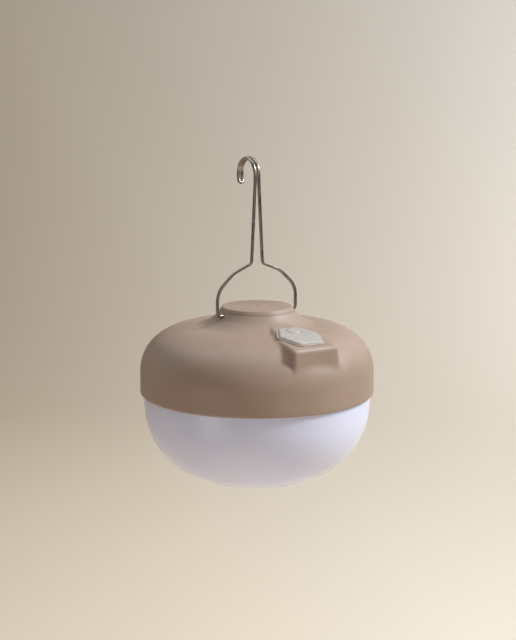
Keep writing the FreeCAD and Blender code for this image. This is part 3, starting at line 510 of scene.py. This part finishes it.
def dome_arcs():
    """The dome's arcs from the top of its straight side to the start of the neck's flank."""
    draft = math.radians(DRAFT)
    start = np.array((HOUSING_RADIUS - SIDE_HEIGHT * math.sin(draft),
                      SEAM + LIP_ROUND + SIDE_HEIGHT * math.cos(draft)))
    heading = 90 + DRAFT
    arcs = []
    for radius, sweep in DOME_ARCS:
        arcs.append(Arc(start, heading, radius, sweep))
        start = arcs[-1].end
        heading = arcs[-1].heading
    return arcs


ARCS = dome_arcs()
SIDE_START = np.array((HOUSING_RADIUS, SEAM + LIP_ROUND))
SIDE_END = ARCS[0].centre + ARCS[0].radius * Arc.direction(ARCS[0].begin)
FLANK_START = ARCS[-1].end
FLANK_END = np.array((NECK_RADIUS, NECK_EDGE))


def line_distance(radii, heights, start, end):
    """Distance to the right of a line, and how far the point lies beyond the line's ends."""
    length = np.linalg.norm(end - start)
    along = (end - start) / length
    across, up = radii - start[0], heights - start[1]
    share = (across * along[0] + up * along[1]) / length
    return across * along[1] - up * along[0], np.maximum(np.maximum(-share, share - 1), 0)


def dome_distance(points):
    """Signed distance of points outside the turned dome."""
    radii = np.hypot(points[:, 0], points[:, 1])
    heights = points[:, 2]
    side = line_distance(radii, heights, SIDE_START, SIDE_END)
    flank = line_distance(radii, heights, FLANK_START, FLANK_END)
    pairs = [side, flank] + [arc.distance(radii, heights) for arc in ARCS]
    distances = np.array([pair[0] for pair in pairs])
    misses = np.array([pair[1] for pair in pairs])
    best = np.argmin(misses * 1000 + np.abs(distances), axis=0)
    return distances[best, np.arange(len(points))]


def boss_distance(points):
    """Signed distance of points outside the control boss, and their height over its sloping top."""
    inset = (points[:, 2] - BOSS_FOOT) * BOSS_TAPER
    corner = BOSS_CORNER - inset
    across = np.abs(points[:, 0]) - (BOSS_HALF_WIDTH - inset)
    length = math.hypot(BOSS_SHOULDER - BOSS_BACK, BOSS_HALF_WIDTH - BOSS_BACK_HALF)
    turn = np.array((BOSS_SHOULDER - BOSS_BACK, BOSS_HALF_WIDTH - BOSS_BACK_HALF)) / length
    slanted = across * turn[0] + (points[:, 1] + BOSS_SHOULDER) * turn[1]
    across = np.maximum(across, slanted)
    ahead = -points[:, 1] - (BOSS_FRONT - inset)
    beside = rounded_maximum(across + corner, ahead + corner) - corner
    above = (points - BOSS_ORIGIN) @ BOSS_UP
    return rounded_maximum(beside + BOSS_EDGE, above + BOSS_EDGE) - BOSS_EDGE, above


def rounded_maximum(first, second):
    """The larger of two distances inside, and the distance round the corner outside."""
    corner = np.hypot(np.maximum(first, 0), np.maximum(second, 0))
    return np.minimum(np.maximum(first, second), 0) + corner


def housing_distance(points):
    """Signed distance outside the dome and boss together, with a fillet that fades at the boss top."""
    dome = dome_distance(points)
    boss, above = boss_distance(points)
    inward = (points - BOSS_ORIGIN) @ BOSS_INWARD
    in_front = smooth_step(-points[:, 1], BOSS_FRONT - 9, BOSS_FRONT - 3)
    widest = SIDE_BLEND + (FRONT_BLEND - SIDE_BLEND) * in_front
    blend = np.clip(-1.1 * above, 0.05 + 2.0 * smooth_step(inward, 19.5, 22.5), widest)
    share = np.clip(0.5 + 0.5 * (boss - dome) / blend, 0, 1)
    return boss * (1 - share) + dome * share - blend * share * (1 - share)


def gradient(distance, points, step=0.02):
    """Direction in which a distance function grows fastest, as long as its slope there."""
    parts = []
    for axis in range(3):
        offset = np.zeros(3)
        offset[axis] = step
        parts.append((distance(points + offset) - distance(points - offset)) / (2 * step))
    return np.stack(parts, axis=1)


def normals_of(distance, points):
    """Unit directions in which a distance function grows fastest."""
    slope = gradient(distance, points)
    return slope / np.linalg.norm(slope, axis=1, keepdims=True)


def settle(points, rounds=3):
    """Points moved along the gradient onto the housing's surface."""
    for _ in range(rounds):
        slope = gradient(housing_distance, points)
        steepness = np.maximum((slope ** 2).sum(axis=1, keepdims=True), 0.2)
        points = points - housing_distance(points)[:, None] * slope / steepness
    return points


FRONT_COLUMNS = 129
REAR_COLUMN = FRONT_COLUMNS + 58


def spaced_angles():
    """Azimuths round the axis, close together at the boss, from just past +Y right round."""
    front = np.linspace(-32, 32, FRONT_COLUMNS)
    rest = np.linspace(32, 328, 119)[1:-1]
    return np.radians(np.concatenate((front, rest)) - 90)


def dome_rows():
    """Profile points of the dome's outside from the lip to the neck's edge."""
    rows = [SIDE_START + (SIDE_END - SIDE_START) * share for share in np.linspace(0, 1, 14)]
    for arc in ARCS:
        rows += arc.samples(1.1)
    rows += [FLANK_START + (FLANK_END - FLANK_START) * share for share in np.linspace(0, 1, 7)[1:]]
    return np.array(rows)


def raise_boss(grid, columns):
    """Move the front columns of a dome grid out onto the boss, evenly spread over its sides."""
    patch = grid[:, :columns]
    shape = patch.shape
    start = patch.reshape(-1, 3)
    outward = normals_of(dome_distance, start)
    reach = np.zeros(len(start))
    for _ in range(60):
        reach -= housing_distance(start + outward * reach[:, None]) * 0.9
    patch = settle(start + outward * reach[:, None]).reshape(shape)
    moved = (reach > 0.02).reshape(shape[:2])
    zone = spread(moved, 10)
    zone[:2] = zone[-2:] = False
    zone[:, :2] = zone[:, -2:] = False
    for _ in range(120):
        average = patch.copy()
        average[1:-1, 1:-1] = (patch[:-2, 1:-1] + patch[2:, 1:-1] + patch[1:-1, :-2] + patch[1:-1, 2:]) / 4
        patch[zone] = settle(0.4 * patch[zone] + 0.6 * average[zone], 1)
    patch[zone] = settle(patch[zone], 3)
    grid[:, :columns] = patch
    return grid


def spread(mask, steps):
    """A mask grown by a number of cells in every direction."""
    for _ in range(steps):
        grown = mask.copy()
        grown[1:] |= mask[:-1]
        grown[:-1] |= mask[1:]
        grown[:, 1:] |= mask[:, :-1]
        grown[:, :-1] |= mask[:, 1:]
        mask = grown
    return mask


def turned(profile, angles):
    """Grid of points of a profile at each azimuth."""
    ring = np.stack((np.cos(angles), np.sin(angles)), axis=1)
    flat = profile[:, None, :1] * ring[None]
    return np.concatenate((flat, np.broadcast_to(profile[:, None, 1:], flat.shape[:2] + (1,))), axis=2)


def make_housing():
    """The moulded housing as one closed wall: outside, lip, inside, neck ring."""
    angles = spaced_angles()
    outer = raise_boss(turned(dome_rows(), angles), FRONT_COLUMNS)
    points = outer.reshape(-1, 3)
    inner = (points - WALL * normals_of(housing_distance, points)).reshape(outer.shape)
    inner = inner[inner[:, REAR_COLUMN, 2] < NECK_CEILING - 1][::-1]

    lip_angles = np.radians(np.linspace(-90, 0, 7))[:-1]
    lip = [(HOUSING_RADIUS + LIP_ROUND * (math.cos(angle) - 1), SEAM + LIP_ROUND * (math.sin(angle) + 1))
           for angle in lip_angles]
    foot = [(HOUSING_RADIUS - WALL + 0.15, SEAM + 0.35), (HOUSING_RADIUS - WALL + 0.5, SEAM)]
    neck = [(NECK_RADIUS - 0.3, NECK_EDGE), (NECK_OPENING, NECK_EDGE), (NECK_OPENING, NECK_CEILING),
            (NECK_RADIUS + 2, NECK_CEILING)]
    below, above = turned(np.array(foot + lip), angles), turned(np.array(neck), angles)
    grid = np.concatenate((below, outer, above, inner))
    faces = grid_faces(grid.shape[0], grid.shape[1], wrap_rows=True, wrap_columns=True)
    housing = make_object("housing_shell", grid.reshape(-1, 3), faces, MATERIALS["housing_plastic"])
    weld(housing.data)
    for cutter in housing_cutters():
        boolean(housing, cutter, "DIFFERENCE")
    housing.data.shade_smooth()
    housing.data.set_sharp_from_angle(angle=math.radians(35))
    return carry(housing, "housing", "housing_plastic", "upper_housing")


def housing_cutters():
    """Shapes cut from the housing: the port's well, the button's stem hole and the bail's holes."""
    material = MATERIALS["housing_plastic"]
    well = rounded_block(PORT_SIZE, (0, -PORT_OUTWARD), -6, 3, 1.0)
    stem = rod(BUTTON_STEM + STEM_CLEARANCE, -6, 3, (0, BUTTON_INWARD))
    cutters = [make_object(f"cutter_{number}", from_boss(points), faces, material)
               for number, (points, faces) in enumerate((well, stem))]
    for side in (-1, 1):
        points, faces = rod(FOOT_HOLE_RADIUS, 26.0, 44.0, segments=48)
        across = np.stack((side * points[:, 2], points[:, 1], PIVOT + points[:, 0]), axis=1)
        cutters.append(make_object(f"cutter_bail_{side}", across, faces, material))
        weld(cutters[-1].data)
    return cutters


def make_cap():
    """Flat cap with softened edges and a small blind hole in the middle."""
    top = CAP_HIGH[2]
    hole_floor = top - PIN_HOLE_DEPTH
    spigot, bore = NECK_OPENING - 0.1, NECK_OPENING - WALL
    spigot_end = NECK_EDGE - CAP_SPIGOT
    corners = [(0.0, hole_floor), (PIN_HOLE_RADIUS, hole_floor), (PIN_HOLE_RADIUS, top),
               (CAP_RADIUS - 0.1, top), (NECK_RADIUS - 0.1, NECK_EDGE), (spigot, NECK_EDGE),
               (spigot, spigot_end), (bore, spigot_end), (bore, NECK_EDGE), (0.0, NECK_EDGE)]
    profile = rounded_path(corners, [0.1, 0.15, 0.6, 0.25, 0.2, 0.3, 0.3, 0.3], step=18)
    cap = lathe("top_disc", profile, MATERIALS["housing_plastic"], segments=144)
    return carry(cap, "housing", "housing_plastic", "top_cap")


# ---------------------------------------------------------------------------------------------
# Bowl
# ---------------------------------------------------------------------------------------------


def bowl_side(inset, height):
    """The bowl's arcs from the flat base to the rim, moved inward by inset."""
    points = [np.array((radius, height)) for radius in (0.0, BOWL_BASE * 0.5, BOWL_BASE)]
    heading = 0.0
    for radius, sweep in BOWL_ARCS:
        arc = Arc(points[-1], heading, radius - inset, sweep)
        points += arc.samples(1.2)
        heading = arc.heading
    return points


def make_bowl():
    """Milky bowl: outside, rim with its snap bead, and inside, as one closed wall."""
    outside = bowl_side(0.0, 0.0)
    rim = outside[-1][0]
    top = BOWL_HIGH[2]
    inner_rim = rim - BOWL_WALL
    rim_points = [(rim, BEAD_HEIGHT - BEAD_REACH), (rim + BEAD_REACH, BEAD_HEIGHT),
                  (rim, BEAD_HEIGHT + BEAD_REACH), (rim, top - 0.3), (rim - 0.3, top),
                  (inner_rim + 0.3, top), (inner_rim, top - 0.3)]
    inside = bowl_side(BOWL_WALL, BOWL_WALL)[::-1]
    profile = np.concatenate((outside, rim_points, inside))
    bowl = lathe("milky_bowl", profile, MATERIALS["milky_plastic"], segments=320)
    return carry(bowl, "housing", "milky_plastic", "diffuser")


# ---------------------------------------------------------------------------------------------
# Silicone pad with its flap, and the key
# ---------------------------------------------------------------------------------------------


def pad_outline():
    """The pad's outline with rounded corners, counter-clockwise in the boss frame."""
    corners = list(PAD_CORNERS)
    middle = ((corners[-1][0] + corners[0][0]) / 2, (corners[-1][1] + corners[0][1]) / 2)
    return rounded_path([middle] + corners + [middle], PAD_CORNER_RADII, step=5)


def distance_inside(points, outline):
    """Distance of each point from the nearest side of a closed outline."""
    start, end = outline, np.roll(outline, -1, axis=0)
    along = end - start
    length = np.maximum((along ** 2).sum(axis=1), 1e-12)
    gap = points[:, None] - start[None]
    share = np.clip((gap * along[None]).sum(axis=2) / length, 0, 1)
    nearest = gap - share[..., None] * along[None]
    return np.sqrt((nearest ** 2).sum(axis=2)).min(axis=1)


def smooth_step(value, start, end):
    """0 before start, 1 after end, and smooth in between."""
    share = np.clip((value - start) / (end - start), 0, 1)
    return share * share * (3 - 2 * share)


def pad_height(points, outline):
    """Height of the pad's top: a thin lip, a narrow groove and a softly rounded plateau."""
    inside = distance_inside(points, outline)
    lip = LIP_HEIGHT - 0.3 * (1 - smooth_step(inside, 0.0, 0.3)) - GROOVE * smooth_step(inside, 0.8, 1.2)
    rise = np.clip((inside - LIP_WIDTH) / 1.9, 0, 1)
    crown = 0.12 * smooth_step(inside, 3.4, 9)
    plateau = (PAD_TOP - 0.12 - LIP_HEIGHT + GROOVE) * np.sqrt(1 - (1 - rise) ** 2) + crown
    light_spot = np.hypot(points[:, 0] - LIGHT_SPOT[0], points[:, 1] - LIGHT_SPOT[1])
    return lip + plateau - 0.2 * (1 - smooth_step(light_spot, 1.0, 1.9))


def pad_grid(outline):
    """Rows of points over the pad, closer together near its sides."""
    offsets = np.array((0.0, 0.12, 0.28, 0.5, 0.75, 0.95, 1.1, 1.3, 1.6, 1.68, 1.82, 2.1, 2.5, 3.0, 3.7))
    outer, inner = outline[:, 1].min(), outline[:, 1].max()
    middle = np.linspace(outer + PAD_MARGIN, inner - PAD_MARGIN, 54)
    rows = np.concatenate((outer + offsets, middle, (inner - offsets)[::-1]))
    right = outline[outline[:, 0] > 0]
    right = right[np.argsort(right[:, 1], kind="stable")]
    grid = []
    for row in rows:
        half = np.interp(row, right[:, 1], right[:, 0])
        core = np.linspace(-half + PAD_MARGIN, half - PAD_MARGIN, 44)
        columns = np.concatenate((-half + offsets, core, (half - offsets)[::-1]))
        grid.append([(column, row) for column in columns])
    return np.array(grid)


def make_pad():
    """One silicone piece: the pad round the key, and the flap with its plug over the port."""
    outline = pad_outline()
    plan = pad_grid(outline)
    rows, columns = plan.shape[:2]
    flat = plan.reshape(-1, 2)
    top = np.column_stack((flat, pad_height(flat, outline)))
    hollow = 1.1 * (1 - smooth_step(np.abs(flat[:, 1] - BEND_LINE), 0.4, 2.0))
    bottom = np.column_stack((flat, np.minimum(PAD_SEAT + hollow, top[:, 2] - PAD_THINNEST)))
    faces = grid_faces(rows, columns)
    faces += [tuple(reversed(face)) for face in grid_faces(rows, columns, first=rows * columns)]
    rim = edge_loop(rows, columns)
    count = rows * columns
    for here, there in zip(rim, rim[1:] + rim[:1]):
        faces.append((here, here + count, there + count, there))
    material = MATERIALS["pad_silicone"]
    pad = make_object("silicone_pad", from_boss(np.concatenate((top, bottom))), faces, material)
    weld(pad.data)
    plug_size = [side - 2 * PLUG_CLEARANCE for side in PORT_SIZE]
    points, plug_faces = rounded_block(plug_size, (0, -PORT_OUTWARD), -2.1, 0.9, 0.8)
    boolean(pad, make_object("plug", from_boss(points), plug_faces, material), "UNION")
    points, hole_faces = rod(BUTTON_RADIUS + BUTTON_GAP, -3, 6, (0, BUTTON_INWARD), 96)
    boolean(pad, make_object("hole", from_boss(points), hole_faces, material), "DIFFERENCE")
    pad.data.shade_smooth()
    pad.data.set_sharp_from_angle(angle=math.radians(50))
    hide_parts("control_pad", "port_flap")
    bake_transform(pad)
    return pad


def edge_loop(rows, columns):
    """Indices of a grid's outer points, in order round it."""
    bottom = list(range(columns))
    right = [row * columns + columns - 1 for row in range(1, rows)]
    top = [(rows - 1) * columns + column for column in range(columns - 2, -1, -1)]
    left = [row * columns for row in range(rows - 2, 0, -1)]
    return bottom + right + top + left


def make_key():
    """Round key with rounded edges, a very slightly raised middle and a stem."""
    top = PAD_TOP + BUTTON_RISE
    low = 0.9
    stem_end = -5.0
    corners = [(0.0, stem_end), (BUTTON_STEM, stem_end), (BUTTON_STEM, low), (BUTTON_RADIUS, low),
               (BUTTON_RADIUS, top - 1.1), (BUTTON_RADIUS - 1.9, top - 0.15), (0.0, top)]
    profile = rounded_path(corners, [0.2, 0.3, 0.15, 0.7, 3.0], step=6)
    key = lathe("key", profile, MATERIALS["pad_silicone"], segments=96, closed=False)
    points = np.array([vertex.co for vertex in key.data.vertices]) / MM
    points[:, 1] += BUTTON_INWARD
    key.data.vertices.foreach_set("co", (from_boss(points) * MM).astype(np.float32).ravel())
    key.data.update()
    return carry(key, "button", "pad_silicone", "power_button")


# ---------------------------------------------------------------------------------------------
# Bail
# ---------------------------------------------------------------------------------------------


def bail_path():
    """Middle line of the wire from the right foot over the hook to the left foot."""
    foot, waist, tip = 38.6, 5.7, 1.75
    start, curve, sweep = 259.5, 14.0, 205.0
    corners = [(27.0, 0, PIVOT), (foot, 0, PIVOT), (foot, 0, PIVOT + 20.5), (waist + 17, 0, 178.6),
               (waist - 0.4, 0, 185.8), (tip, 0, start - 4), (tip, 0, start)]
    right = rounded_path(corners, [3.4, 20.0, 25.0, 3.5, 40.0], step=3.5)
    turns = np.radians(np.linspace(0, sweep, 60))[1:]
    back, up = curve * (1 - np.cos(turns)), start + curve * np.sin(turns)
    hook = np.column_stack((np.full(len(turns), tip), back, up))
    ahead = np.array((0, math.sin(turns[-1]), math.cos(turns[-1]))) * tip
    across = np.array((tip, 0, 0))
    end = hook[-1] * (0, 1, 1)
    corner = np.linspace(0, math.pi / 2, 9)[1:]
    bend = [end + across * math.cos(angle) + ahead * math.sin(angle) for angle in corner]
    half = np.concatenate((right, hook, bend))
    return np.concatenate((half, half[:-1][::-1] * (-1, 1, 1)))


def tube(name, path, radius, material, sides=28):
    """A round wire along a path, closed by flat ends."""
    tangents = np.gradient(path, axis=0)
    tangents /= np.linalg.norm(tangents, axis=1, keepdims=True)
    side = np.array((0.0, 1.0, 0.0))
    points = []
    angles = np.linspace(0, 2 * math.pi, sides, endpoint=False)
    for place, tangent in zip(path, tangents):
        side = side - tangent * (side @ tangent)
        side /= np.linalg.norm(side)
        other = np.cross(tangent, side)
        points += [place + radius * (side * math.cos(a) + other * math.sin(a)) for a in angles]
    count = len(path)
    faces = grid_faces(count, sides, wrap_columns=True)
    faces += [tuple(reversed(range(sides))), tuple(range((count - 1) * sides, count * sides))]
    thing = make_object(name, points, faces, material, sharp=50)
    weld(thing.data)
    return thing


def make_bail():
    """The bent wire, from one foot to the other."""
    path = bail_path()
    keep = np.concatenate(([True], np.linalg.norm(np.diff(path, axis=0), axis=1) > 0.05))
    bail = tube("wire_bail", path[keep], WIRE / 2, MATERIALS["wire_steel"])
    return carry(bail, "bail", "wire_steel", "bail")


# ---------------------------------------------------------------------------------------------
# CAD nodes that keep their shape
# ---------------------------------------------------------------------------------------------

NODE_SLOTS = {
    "diffuser_gasket": "seal_silicone",
    "bail_bush_left": "bush_plastic",
    "bail_bush_right": "bush_plastic",
    "control_board": "circuit_board",
    "control_board_screws": "screw_steel",
    "switch_body": "black_plastic",
    "switch_plunger": "bush_plastic",
    "usb_socket": "socket_steel",
    "status_light": "light_lens",
    "driver_parts": "black_plastic",
    "lead_sockets": "white_plastic",
    "carrier_plate": "white_plastic",
    "carrier_screws": "screw_steel",
    "light_board": "light_board_aluminium",
    "light_board_screws": "screw_steel",
    "lights": "light_lens",
    "battery_cells": "cell_wrap",
    "battery_cradle": "white_plastic",
    "battery_strips": "strip_nickel",
    "battery_strap": "strap_steel",
    "strap_screws": "screw_steel",
    "protection_board": "circuit_board",
    "battery_lead": "lead_insulation",
    "light_lead": "lead_insulation",
}


def finish_cad_nodes():
    """Give every carried-over CAD node its material."""
    for name, slot in NODE_SLOTS.items():
        slots = NODES[name].data.materials
        slots.clear()
        slots.append(MATERIALS[slot])


# ---------------------------------------------------------------------------------------------
# Stage, light and camera
# ---------------------------------------------------------------------------------------------

FLOOR = -0.45


def make_stage():
    """A pale floor that curves up into a backdrop behind the lantern, its colour painted darker and warmer
    along a slant as painted shade of the light's fall-off.
    """
    surface = Surface("stage_paper", Roughness=0.9)
    # Painted shade: the paper's colour runs from a darker warm tone to pale along a slant, standing in for
    # the fall-off of the lights across the backdrop.
    painted_falloff = surface.slope((0.34, -0.14, 0.25), 0.42)
    surface.colours(painted_falloff, (0.0, (224, 200, 173)), (0.45, (244, 229, 209)), (1.0, (247, 240, 231)))
    surface.bump(surface.noise(80.0), 0.2)
    profile = rounded_path([(-1.6, FLOOR), (3.4, FLOOR), (3.4, 3.6)], [1.4], step=5)
    across = np.linspace(-4.5, 4.5, 10)
    away = np.array((math.sin(math.radians(31)), math.cos(math.radians(31)), 0.0))
    beside = np.array((away[1], -away[0], 0.0))
    points = [side * beside + reach * away + (0, 0, height) for reach, height in profile for side in across]
    faces = grid_faces(len(profile), len(across))
    stage = make_object("stage", np.array(points) / MM, faces, surface.material)


def add_light(name, location, target, size, power, colour=(1.0, 1.0, 1.0)):
    """A square soft light aimed at a point."""
    data = bpy.data.lights.new(name, "AREA")
    data.size = size
    data.energy = power
    data.color = colour
    light = bpy.data.objects.new(name, data)
    light.location = location
    light.rotation_euler = (Vector(target) - Vector(location)).to_track_quat("-Z", "Y").to_euler()
    bpy.context.scene.collection.objects.link(light)


def round_lantern(azimuth, elevation, distance=2.1):
    """A place round the lantern: azimuth in degrees to the right of the camera, and elevation."""
    azimuth, elevation = math.radians(azimuth - 121.0), math.radians(elevation)
    flat = distance * math.cos(elevation)
    return (flat * math.cos(azimuth), flat * math.sin(azimuth), 0.1 + distance * math.sin(elevation))


def make_lights():
    """A cool key light at the right, weaker fills round the lantern, and light on the backdrop."""
    middle = (0.0, 0.0, 0.1)
    cool, warm = (0.90, 0.955, 1.0), (1.0, 0.95, 0.89)
    add_light("key_light", round_lantern(84, 43), middle, 0.6, 49.0, cool)
    add_light("rear_key_light", round_lantern(130, 35), middle, 1.4, 10.0, cool)
    add_light("front_light", round_lantern(10, 18), middle, 1.4, 8.5, warm)
    add_light("left_fill", round_lantern(-110, 12), middle, 1.4, 4.5, warm)
    add_light("low_fill", round_lantern(-45, -22, 1.2), middle, 0.6, 2.1, cool)
    add_light("rear_light", round_lantern(-125, 60), middle, 1.4, 10.0, cool)
    add_light("top_light", round_lantern(0, 88), middle, 1.4, 10.0, cool)
    add_light("backdrop_light", (2.4, 1.05, 0.5), (2.0, 2.0, 0.2), 0.8, 10.5)
    world = bpy.data.worlds.new("room")
    world.use_nodes = True
    world.node_tree.nodes["Background"].inputs["Color"].default_value = (0.58, 0.58, 0.60, 1.0)
    world.node_tree.nodes["Background"].inputs["Strength"].default_value = 0.04
    bpy.context.scene.world = world


def make_camera():
    """A camera in front and to the left, looking slightly down at the lantern."""
    data = bpy.data.cameras.new("camera")
    data.lens = 82.65
    data.sensor_width = 36.0
    camera = bpy.data.objects.new("camera", data)
    camera.location = (-0.6338, -1.0565, 0.3622)
    forward = Vector((0.50663, 0.84317, -0.17998))
    camera.rotation_euler = forward.to_track_quat("-Z", "Y").to_euler()
    bpy.context.scene.collection.objects.link(camera)
    bpy.context.scene.camera = camera


make_housing()
make_cap()
make_bowl()
make_pad()
make_key()
make_bail()
finish_cad_nodes()
make_stage()
make_lights()
make_camera()
bpy.context.scene.view_settings.view_transform = "Standard"
